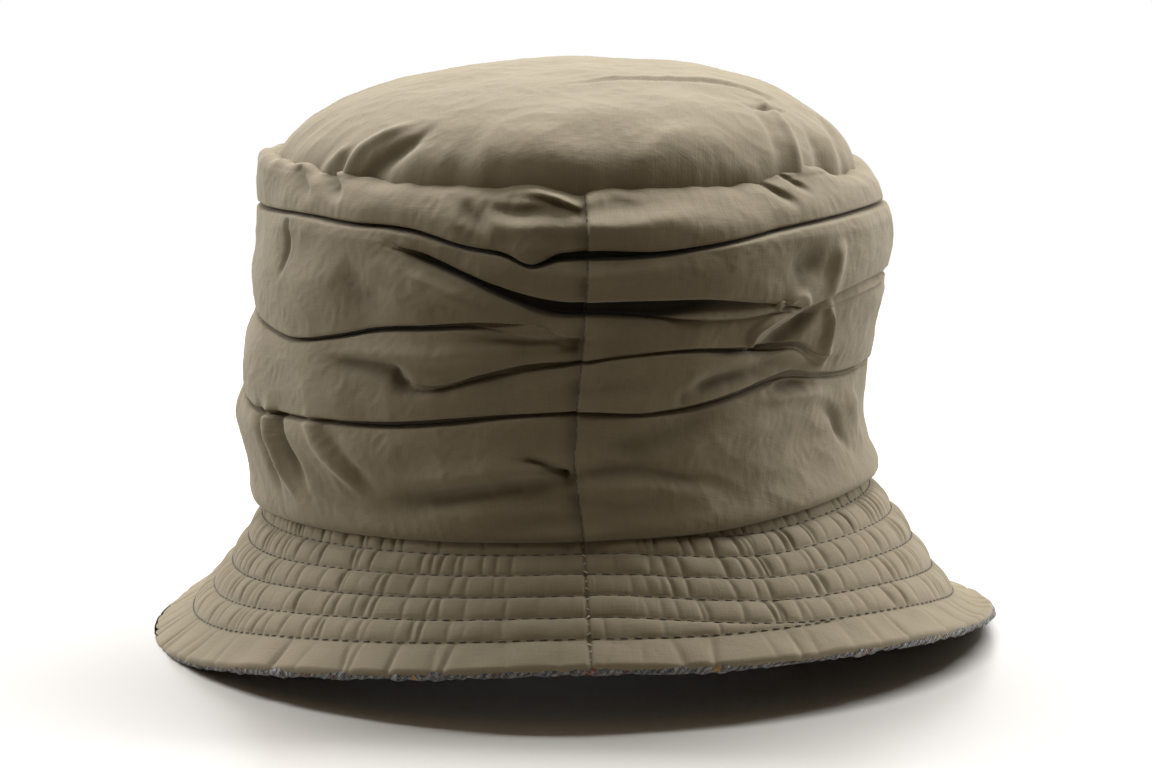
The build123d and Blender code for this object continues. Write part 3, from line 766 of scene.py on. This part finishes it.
def brim_under_half(side, material, nodes):
    """One half of the tweed: from behind the cloth's edge it turns round the wadding, shows as a
    narrow band, and runs back up the underside to the head opening."""
    columns, band_rows, rows = 700, 14, 60
    degrees = side * 180 * np.linspace(0, 1, columns)
    u = degrees * brim_degree
    smooth_face = brim_grid(np.broadcast_to(degrees, (rows, columns)),
                            np.broadcast_to(np.linspace(1, -0.06, rows)[:, None], (rows, columns)))
    normal = grid_normals(smooth_face, flip=side > 0)
    lumps = 0.16 * waves(u, 0 * u, 51, 2.2, 6) + 0.16 * waves(u, 0 * u, 52, 8, 24)
    along = smooth_face[0] - smooth_face[1]
    along /= np.linalg.norm(along, axis=-1, keepdims=True)
    turn = np.radians(np.linspace(-70, 90, band_rows))[:, None, None]
    bulge = (1.3 + lumps)[None, :, None]
    centre = smooth_face[0] - normal[0] * 2.5 + along * 0.2
    band = centre + bulge * (np.cos(turn) * along - np.sin(turn) * normal[0])
    fade = np.linspace(0, 1, rows)[1:, None]
    sunk = 4.1 + 0.2 * fade + 0.2 * waves(u, fade * brim_slant, 53, 10, 30)
    under = smooth_face[1:] - normal[1:] * sunk[..., None]
    grid = np.concatenate((band, under))
    grid[..., 2] = np.maximum(grid[..., 2], 0.05)
    steps = np.linalg.norm(np.diff(grid, axis=0), axis=-1).mean(axis=1)
    v = np.concatenate(([0], np.cumsum(steps))) + 14
    uv = np.stack(np.broadcast_arrays(u, v[:, None]), -1)
    name = "brim_tweed_right" if side > 0 else "brim_tweed_left"
    piece = cloth_piece(name, grid, uv, material, nodes, flip=side > 0)


# ---- thread ---------------------------------------------------------------------------------


def stitches(name, starts, ends, lift, material, nodes):
    """Stitches as slim six-sided beads: each runs between two points, thickest in its middle, and
    dips into the cloth at both ends."""
    sides = 6
    shares = np.array([0.0, 0.12, 0.5, 0.88, 1.0])
    thick = np.array([0.25, 0.9, 1.0, 0.9, 0.25]) * thread_radius
    raised = np.array([-0.55, 0.1, 0.25, 0.1, -0.55]) * thread_radius * 1.6
    run = ends - starts
    length = np.linalg.norm(run, axis=1, keepdims=True)
    run = run / np.maximum(length, 1e-9)
    across = np.cross(run, lift)
    across /= np.linalg.norm(across, axis=1, keepdims=True)
    lift = np.cross(across, run)
    turn = np.linspace(0, 2 * np.pi, sides, endpoint=False)
    centre = starts[:, None] + (ends - starts)[:, None] * shares[:, None]
    centre = centre + lift[:, None] * raised[:, None]
    rings = centre[:, :, None] + thick[:, None, None] * (
        np.cos(turn)[:, None] * across[:, None, None] + np.sin(turn)[:, None] * lift[:, None, None]
    )
    count = len(starts)
    points = rings.reshape(-1, 3)
    one = grid_faces(len(shares), sides, wrap=True)
    faces = (one[None] + (np.arange(count) * len(shares) * sides)[:, None, None]).reshape(-1, 4)
    first = np.array([[0, 1, 2, 3], [0, 3, 4, 5]])[:, ::-1]
    final = np.array([[0, 1, 2, 3], [0, 3, 4, 5]]) + (len(shares) - 1) * sides
    caps = np.concatenate((first, final))
    caps = (caps[None] + (np.arange(count) * len(shares) * sides)[:, None, None]).reshape(-1, 4)
    faces = [np.concatenate((faces, caps))[:, ::-1]]
    make_piece(name, points, faces, None, material, nodes)


def row_points(degrees, slant):
    """Points on a row of stitching, just above the bottom of its valley."""
    down = slant / brim_slant
    here = brim_grid(degrees, down)
    ahead = brim_grid(degrees + 0.05, down)
    below = brim_grid(degrees, down + 0.004)
    normal = np.cross(ahead - here, below - here)
    normal /= -np.linalg.norm(normal, axis=-1, keepdims=True)
    normal *= np.sign(normal[..., 2:])
    return here - normal * (quilt_rise - 0.5), normal


def path_lengths(path):
    """The distance along a path, at each of its points."""
    return np.concatenate(([0], np.cumsum(np.linalg.norm(np.diff(path, axis=0), axis=1))))


def lay_stitches(name, path, lift, at, length, material, nodes):
    """Stitches of one length that start at given distances along a path of points."""
    lengths = path_lengths(path)
    starts, ends, up = (
        np.stack([np.interp(spots, lengths, layer[:, k]) for k in range(3)], -1)
        for layer, spots in ((path, at), (path, at + length), (lift, at))
    )
    stitches(name, starts, ends, up, material, nodes)


def row_piece(name, degrees, slant, seed, material, nodes):
    """A row of the brim's stitching, of stitches of one length with a nearly even gap between."""
    path, normal = row_points(degrees, slant)
    lengths = path_lengths(path)
    at = np.arange(0, lengths[-1] - stitch_length, stitch_length + stitch_gap)
    at = at + np.random.default_rng(seed).uniform(-0.15, 0.15, len(at))
    at = at[np.interp(at, lengths, slant) > 2.0]  # the first turn starts under the wall's hem
    lay_stitches(name, path, normal, at, stitch_length, material, nodes)


def sewn_along(name, path, lift, length, gap, material, nodes):
    """Stitches of one length with an even gap between, along a path of points."""
    at = np.arange(1, path_lengths(path)[-1] - length, length + gap)
    lay_stitches(name, path, lift, at, length, material, nodes)


def seam_stitches(name, grid, column, length, gap, material, nodes):
    """Stitches down a column of the wall's grid, which dip into the tucks with the cloth."""
    path = grid[:, column]
    normal = grid_normals(grid)[:, column]
    normal *= np.sign((normal * (path * (1, 1, 0))).sum(axis=1, keepdims=True) + 1e-9)
    sewn_along(name, path, normal, length, gap, material, nodes)


def cross_stitches(name, degrees, material, nodes):
    """Short pale stitches across a seam of the brim, that lean to one side and the other in turn
    and pull its two edges together."""
    count = 14
    rng = np.random.default_rng(90)
    down = np.linspace(0.05, 0.95, count) + rng.uniform(-0.012, 0.012, count)
    lean = np.where(np.arange(count) % 2, 0.009, -0.009)
    starts, normal = row_points(np.full(count, degrees - 0.28), brim_slant * (down - lean))
    ends, _ = row_points(np.full(count, degrees + 0.28), brim_slant * (down + lean))
    stitches(name, starts + 0.25 * normal, ends + 0.25 * normal, normal, material, nodes)


# ---- materials ------------------------------------------------------------------------------


def linear(hex_colour):
    """An sRGB hex colour as linear red, green, blue and an alpha of one."""
    parts = np.array([int(hex_colour[i : i + 2], 16) for i in (0, 2, 4)]) / 255
    low = parts <= 0.04045
    return (*np.where(low, parts / 12.92, ((parts + 0.055) / 1.055) ** 2.4), 1.0)


def set_inputs(tree, node, inputs):
    """Sets or links a node's inputs, by name or by place, from values, sockets or nodes. A node is
    linked by its first output that is in use."""
    for key, value in inputs.items():
        if isinstance(value, bpy.types.Node):
            value = next(output for output in value.outputs if output.enabled)
        if isinstance(value, bpy.types.NodeSocket):
            tree.links.new(value, node.inputs[key])
        else:
            node.inputs[key].default_value = value


def add_node(tree, kind, inputs=None, **settings):
    """Adds a shader node with its properties and its inputs."""
    node = tree.nodes.new("ShaderNode" + kind)
    for name, value in settings.items():
        setattr(node, name, value)
    set_inputs(tree, node, inputs or {})
    return node


def new_material(name):
    """A material with a Principled shader, and its tree and that shader."""
    material = bpy.data.materials.new(name)
    material.use_nodes = True
    tree = material.node_tree
    tree.nodes.clear()
    shader = add_node(tree, "BsdfPrincipled")
    add_node(tree, "OutputMaterial", {0: shader})
    return material, tree, shader


def waxed_cotton():
    """Plain-woven cotton with a dry wax finish: matt with a faint sheen, threads that just show as fine ribs
    both ways, slubs along the threads, and cloudy patches where the wax has rubbed. Raised cloth is painted
    paler, as rubbed wear, and hollows and the insides of the tucks darker, as painted shade."""
    material, tree, shader = new_material("waxed_cotton")
    uv = add_node(tree, "UVMap", uv_map="cloth")
    place = add_node(tree, "TexCoord").outputs["Object"]
    # Raised cloth is paler, as rubbed wear, and hollows darker, as painted shade.
    wear_and_painted_shade = add_node(tree, "Attribute", attribute_name="wear_and_painted_shade").outputs["Fac"]
    # Painted shade inside the tucks and along the lap's edge.
    tuck = add_node(tree, "Attribute", attribute_name="tuck").outputs["Fac"]
    thread_pitch = 0.00055  # metres: real threads are 0.3 mm apart, drawn coarser so that they show
    split = add_node(tree, "SeparateXYZ", {0: uv})
    ribs = []
    for way in split.outputs[:2]:
        phase = add_node(tree, "Math", {0: way, 1: 2 * np.pi / thread_pitch}, operation="MULTIPLY")
        ribs.append(add_node(tree, "Math", {0: phase}, operation="SINE"))
    weave = add_node(tree, "Math", {0: ribs[0], 1: ribs[1]}, operation="MULTIPLY")
    slubs = []
    for scale in ((160, 1600, 1), (1600, 160, 1)):
        drawn_out = add_node(tree, "Mapping", {0: uv, 3: scale})
        slubs.append(add_node(tree, "TexNoise", {0: drawn_out, 2: 1.0, 3: 3.0, 4: 0.6}))
    threads = add_node(tree, "Math", {0: slubs[0], 1: slubs[1]}, operation="ADD")
    clouds = add_node(tree, "TexNoise", {0: place, 2: 28.0, 3: 5.0, 4: 0.6})
    cloudy = add_node(tree, "MapRange", {0: clouds, 1: 0.35, 2: 0.65})
    base = add_node(tree, "Mix", {0: cloudy, 6: linear("7A705A"), 7: linear("827761")}, data_type="RGBA")
    for value, low, high, most, colour in (
        (threads, 0.75, 1.25, 0.22, "938970"),  # slubs
        (wear_and_painted_shade, 0.05, 0.9, 0.30, "9C917A"),  # raised cloth, rubbed pale as wear, and a painted highlight
        (wear_and_painted_shade, -0.1, -0.9, 0.45, "574F3B"),  # hollows, painted shade
        (tuck, 0.0, 1.0, 0.88, "1B1711"),  # painted shade, near black, inside the tucks and along the lap's edge
    ):
        share = add_node(tree, "MapRange", {0: value, 1: low, 2: high, 3: 0.0, 4: most})
        base = add_node(tree, "Mix", {0: share, 6: base, 7: linear(colour)}, data_type="RGBA")
    weave_height = add_node(tree, "Math", {0: weave, 1: 0.08}, operation="MULTIPLY")
    relief = add_node(tree, "Math", {0: threads, 1: 1.1, 2: weave_height}, operation="MULTIPLY_ADD")
    fine = add_node(tree, "Bump", {"Strength": 0.35, "Distance": 0.00016, "Height": relief})
    crumple = add_node(tree, "TexNoise", {0: place, 2: 260.0, 3: 4.0, 4: 0.55})
    rumple = add_node(tree, "Bump", {"Strength": 0.30, "Distance": 0.0006, "Height": crumple, "Normal": fine})
    set_inputs(tree, shader, {"Base Color": base, "Roughness": 0.78, "Specular IOR Level": 0.18,
                              "Sheen Weight": 0.14, "Sheen Roughness": 0.5, "Normal": rumple})
    return material


def checked_tweed():
    """Woollen tweed with a diagonal twill: blue-grey and oatmeal yarns, flecked, with thin rust and
    mustard lines both ways every 75 mm. Yarns are 0.9 mm apart and stand out softly."""
    material, tree, shader = new_material("checked_tweed")
    uv = add_node(tree, "UVMap", uv_map="cloth")
    along, across = add_node(tree, "SeparateXYZ", {0: uv}).outputs[:2]
    yarn = 0.0009  # metres
    check = 0.075
    wander = add_node(tree, "TexNoise", {0: uv, 2: 420.0, 3: 3.0, 4: 0.6})
    slant = add_node(tree, "Math", {0: along, 1: across}, operation="ADD")
    slant = add_node(tree, "Math", {0: wander, 1: 0.004, 2: slant}, operation="MULTIPLY_ADD")
    counter = add_node(tree, "Math", {0: along, 1: across}, operation="SUBTRACT")
    diagonals = []
    for line, pitch in ((slant, 2.4 * yarn), (counter, yarn)):
        phase = add_node(tree, "Math", {0: line, 1: 2 * np.pi / pitch}, operation="MULTIPLY")
        diagonals.append(add_node(tree, "Math", {0: phase}, operation="SINE"))
    twill, ribs = diagonals
    relief = add_node(tree, "Math", {0: ribs, 1: 0.5, 2: twill}, operation="MULTIPLY_ADD")
    flecks = add_node(tree, "TexVoronoi", {"Vector": uv, "Scale": 1100.0})
    fleck = add_node(tree, "SeparateColor", {0: flecks.outputs["Color"]}).outputs
    blue = add_node(tree, "Mix", {0: fleck[0], 6: linear("272D37"), 7: linear("56606C")}, data_type="RGBA")
    pale = add_node(tree, "Mix", {0: fleck[1], 6: linear("6B665F"), 7: linear("B9B4AC")}, data_type="RGBA")
    choice = add_node(tree, "Math", {0: fleck[2], 1: 0.9, 2: twill}, operation="MULTIPLY_ADD")
    choice = add_node(tree, "MapRange", {0: choice, 1: -0.6, 2: 1.7})
    ground = add_node(tree, "Mix", {0: choice, 6: blue, 7: pale}, data_type="RGBA")
    shown = add_node(tree, "MapRange", {0: fleck[2], 1: 0.3, 2: 0.8})
    for way in (along, across):
        for at, width, colour in ((0.0, 0.0028, "8A4526"), (0.0085, 0.0018, "5C2F22"),
                                  (0.031, 0.0022, "B98A1E"), (0.052, 0.003, "6B3A28")):
            shifted = add_node(tree, "Math", {0: way, 1: check * 20 - at}, operation="ADD")
            around = add_node(tree, "Math", {0: shifted, 1: check / 2}, operation="PINGPONG")
            inside = add_node(tree, "Math", {0: around, 1: width / 2}, operation="LESS_THAN")
            share = add_node(tree, "Math", {0: inside, 1: shown}, operation="MULTIPLY")
            ground = add_node(tree, "Mix", {0: share, 6: ground, 7: linear(colour)}, data_type="RGBA")
    fluff = add_node(tree, "TexNoise", {0: uv, 2: 1500.0, 3: 3.0, 4: 0.7})
    nap = add_node(tree, "Math", {0: fluff, 1: 1.6, 2: relief}, operation="MULTIPLY_ADD")
    bump = add_node(tree, "Bump", {"Strength": 0.8, "Distance": 0.0004, "Height": nap})
    set_inputs(tree, shader, {"Base Color": ground, "Roughness": 0.95, "Specular IOR Level": 0.15,
                              "Sheen Weight": 0.35, "Sheen Roughness": 0.6, "Normal": bump})
    return material


def spun_thread(name, colour):
    """Spun polyester thread, finely mottled by its twist, with a soft shine."""
    material, tree, shader = new_material(name)
    place = add_node(tree, "TexCoord").outputs["Object"]
    twist = add_node(tree, "TexNoise", {0: place, 2: 2500.0, 3: 2.0})
    share = add_node(tree, "Math", {0: twist, 1: 0.35}, operation="MULTIPLY")
    shade = add_node(tree, "Mix", {0: share, 6: linear(colour), 7: linear("8B8069")}, data_type="RGBA")
    bump = add_node(tree, "Bump", {"Strength": 0.4, "Distance": 0.0001, "Height": twist})
    set_inputs(tree, shader, {"Base Color": shade, "Roughness": 0.6, "Normal": bump})
    return material


def lining_cotton():
    """Thin plain cotton lawn in dark olive: smooth, with a fine grain and faint clouds."""
    material, tree, shader = new_material("lining_cotton")
    place = add_node(tree, "TexCoord").outputs["Object"]
    grain = add_node(tree, "TexNoise", {0: place, 2: 1800.0, 3: 2.0})
    clouds = add_node(tree, "TexNoise", {0: place, 2: 40.0, 3: 3.0})
    shade = add_node(tree, "Mix", {0: clouds, 6: linear("4C463A"), 7: linear("5A5345")}, data_type="RGBA")
    share = add_node(tree, "Math", {0: grain, 1: 0.2}, operation="MULTIPLY")
    shade = add_node(tree, "Mix", {0: share, 6: shade, 7: linear("6B6453")}, data_type="RGBA")
    bump = add_node(tree, "Bump", {"Strength": 0.3, "Distance": 0.0002, "Height": grain})
    set_inputs(tree, shader, {"Base Color": shade, "Roughness": 0.7, "Normal": bump})
    return material


def grosgrain():
    """Ribbed sweatband ribbon: upright ribs 0.9 mm apart, in near-black olive with a dull shine."""
    material, tree, shader = new_material("grosgrain")
    uv = add_node(tree, "UVMap", uv_map="cloth")
    split = add_node(tree, "SeparateXYZ", {0: uv})
    rib_pitch = 0.0009  # metres
    phase = add_node(tree, "Math", {0: split.outputs[0], 1: 2 * np.pi / rib_pitch}, operation="MULTIPLY")
    rib = add_node(tree, "Math", {0: phase}, operation="SINE")
    # Painted shade: the ribbon is darker between its ribs and lighter on their crests.
    share = add_node(tree, "MapRange", {0: rib, 1: -1.0, 2: 1.0})
    shade = add_node(tree, "Mix", {0: share, 6: linear("2C2A24"), 7: linear("3E3B33")}, data_type="RGBA")
    bump = add_node(tree, "Bump", {"Strength": 0.6, "Distance": 0.0003, "Height": rib})
    set_inputs(tree, shader, {"Base Color": shade, "Roughness": 0.55, "Normal": bump})
    return material


def felted(name, colour, other):
    """Pressed or fluffy fibres with no weave, for what lies between the plies."""
    material, tree, shader = new_material(name)
    place = add_node(tree, "TexCoord").outputs["Object"]
    fibres = add_node(tree, "TexNoise", {0: place, 2: 700.0, 3: 5.0, 4: 0.7})
    shade = add_node(tree, "Mix", {0: fibres, 6: linear(colour), 7: linear(other)}, data_type="RGBA")
    bump = add_node(tree, "Bump", {"Strength": 0.5, "Distance": 0.0005, "Height": fibres})
    set_inputs(tree, shader, {"Base Color": shade, "Roughness": 0.95, "Normal": bump})
    return material


cotton = waxed_cotton()
tweed = checked_tweed()
lawn = lining_cotton()
ribbon = grosgrain()
dark_thread = spun_thread("thread_dark_olive", "1C1812")
olive_thread = spun_thread("thread_olive", "362F23")
pale_thread = spun_thread("thread_pale", "CFC6B2")
wadding = felted("brim_wadding", "D8D4CA", "F0EDE6")
stiffening = felted("stay_interlining", "C9C5BA", "DEDBD2")


# ---- the hat --------------------------------------------------------------------------------

for side, word in ((-1, "left"), (1, "right")):
    wall_grid = wall_half(side, cotton, [f"wall_{word}"])
    brim_top_half(side, cotton, [f"brim_top_{word}"])
    brim_wadding_half(side, wadding, [f"brim_wadding_{word}"])
    brim_under_half(side, tweed, [f"brim_under_{word}"])

seam_stitches("wall_seam_front", wall_grid, 1, 2.4, 0.7, dark_thread, ["wall_front_seam"])
seam_stitches("wall_seam_back", wall_grid, -3, 1.9, 0.8, dark_thread, ["wall_back_seam"])

points, faces, out = tip_shape(tip_high[0] + 2.4, tip_edge_height, tip_high[2] - 1.6, True)
tip = make_piece("crown_tip", points, faces, points[:, :2], cotton, ["tip"])
# For the tip's colour: raised cloth is paler, as rubbed wear, and hollows are darker, as painted shade.
keep_attribute(tip, "wear_and_painted_shade", np.clip(np.append(out.ravel(), 0.3) * 0.3 + 0.1, -1, 1))

turn_degrees = np.linspace(0.4, 359.6, 4000)
for number in range(-1, row_turns - 1):
    row_piece(f"brim_stitching_{number + 2}", turn_degrees, row_slant(number, turn_degrees), 60 + number,
              olive_thread, [f"brim_stitch_row_{number + 2}"])
tail_degrees = np.linspace(0.4, 36, 500)
tail_slant = np.full(500, row_first + row_spacing * (row_turns - 1))
row_piece("brim_stitching_end", tail_degrees, tail_slant, 70, olive_thread, [])

inner_layer("wall_stiffening", stiffening, ["wall_stay"], stay_high[0],
            top_high[2] + 9, stay_high[2], (-180, 180), False, 71)
for side, word in ((-1, "left"), (1, "right")):
    inner_layer(f"lining_cloth_{word}", lawn, [f"lining_{word}"], lining_high[0] - 0.7,
                lining_low[2], lining_high[2], sorted((0, side * 180)), True, 72)
inner_layer("sweatband_ribbon", ribbon, ["sweatband"], band_high[0] - 0.5, band_low[2],
            band_high[2], (-180, 180), True, 73)

points, faces, _ = tip_shape(dome_lining_high[0] + 0.4, dome_lining_low[2], dome_lining_high[2] - 1.6, False)
inner_tip = make_piece("lining_tip", points, faces, points[:, :2], lawn, ["tip_lining"])

band_turn = np.linspace(-180, 180, 1200)
band_seam = oval_points(band_turn, band_stitch_radius, band_stitch_high[2] - 0.4, crown_oval)
band_seam[:, 0] += slouch(band_turn, band_seam[:, 2])
band_lift = -oval_points(band_turn, 1.0, 0.0, crown_oval)
sewn_along("sweatband_stitching", band_seam, band_lift, 2.6, 1.2, dark_thread, ["sweatband_stitch"])

for name, degrees, node in (("front", 0.0, "brim_front_seam"), ("back", 180.0, "brim_back_seam")):
    cross_stitches(f"brim_seam_{name}", degrees, pale_thread, [node])

# ---- floor, light and camera ----------------------------------------------------------------

paper, tree, shader = new_material("white_table")
set_inputs(tree, shader, {"Base Color": linear("EDEBE8"), "Roughness": 0.3, "Specular IOR Level": 0.8})
mesh = bpy.data.meshes.new("white_table")
mesh.from_pydata([(-1.1, -0.2, 0), (1.1, -0.2, 0), (1.1, 0.8, 0), (-1.1, 0.8, 0)], [], [(0, 1, 2, 3)])
floor = bpy.data.objects.new("white_table", mesh)
mesh.materials.append(paper)
bpy.context.scene.collection.objects.link(floor)
floor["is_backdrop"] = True


def softbox(name, place, aim, width, height, power):
    """A rectangular soft light at a place, turned to face a point."""
    light = bpy.data.lights.new(name, "AREA")
    light.shape = "RECTANGLE"
    light.size, light.size_y = width, height
    light.energy = power
    lamp = bpy.data.objects.new(name, light)
    bpy.context.scene.collection.objects.link(lamp)
    lamp.location = place
    lamp.rotation_euler = look(place, aim)
    return lamp


def look(place, aim):
    """The rotation that turns a lamp or camera at a place to face a point."""
    return (Vector(aim) - Vector(place)).to_track_quat("-Z", "Y").to_euler()


softbox("back_softbox", (0.12, 0.68, 1.3), (0, 0.0, 0.08), 2.2, 0.34, 50)
fills = [softbox("top_softbox", (0, 0.05, 1.5), (0, 0, 0.1), 0.8, 0.8, 2.6),
         softbox("front_softbox", (-0.1, -0.62, 1.38), (0, 0, 0.1), 1.0, 0.4, 3.0),
         softbox("left_softbox", (-1.1, 0.45, 0.6), (0, 0, 0.08), 0.7, 0.6, 10),
         softbox("right_softbox", (1.1, 0.45, 0.6), (0, 0, 0.08), 0.7, 0.6, 10)]
hat = bpy.data.collections.new("hat")
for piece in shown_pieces():
    hat.objects.link(piece)
for lamp in fills:  # the fills light the hat alone, so that its shadow on the table stays deep
    lamp.light_linking.receiver_collection = hat

world = bpy.data.worlds.new("studio")
bpy.context.scene.world = world
world.use_nodes = True
tree = world.node_tree
background = tree.nodes["Background"]
rays = add_node(tree, "LightPath").outputs
seen = add_node(tree, "Math", {0: rays["Is Camera Ray"], 1: rays["Is Glossy Ray"]}, operation="MAXIMUM")
room = add_node(tree, "Mix", {0: seen, 6: linear("574A36"), 7: (1, 1, 1, 1)}, data_type="RGBA")
set_inputs(tree, background, {0: room})  # the room is dim and warm, and its backdrop white

camera_data = bpy.data.cameras.new("camera")
camera_data.lens = 135
camera_data.sensor_width = 36
camera_data.clip_end = 20
camera = bpy.data.objects.new("camera", camera_data)
bpy.context.scene.collection.objects.link(camera)
camera_distance, camera_height, aim_height, swing = 1.26, 0.251, 0.0712, np.radians(-2.0)
camera.location = (camera_distance * np.sin(swing), -camera_distance * np.cos(swing), camera_height)
camera.rotation_euler = look(camera.location, (0.0012, 0, aim_height))
bpy.context.scene.camera = camera
bpy.context.scene.view_settings.view_transform = "Standard"
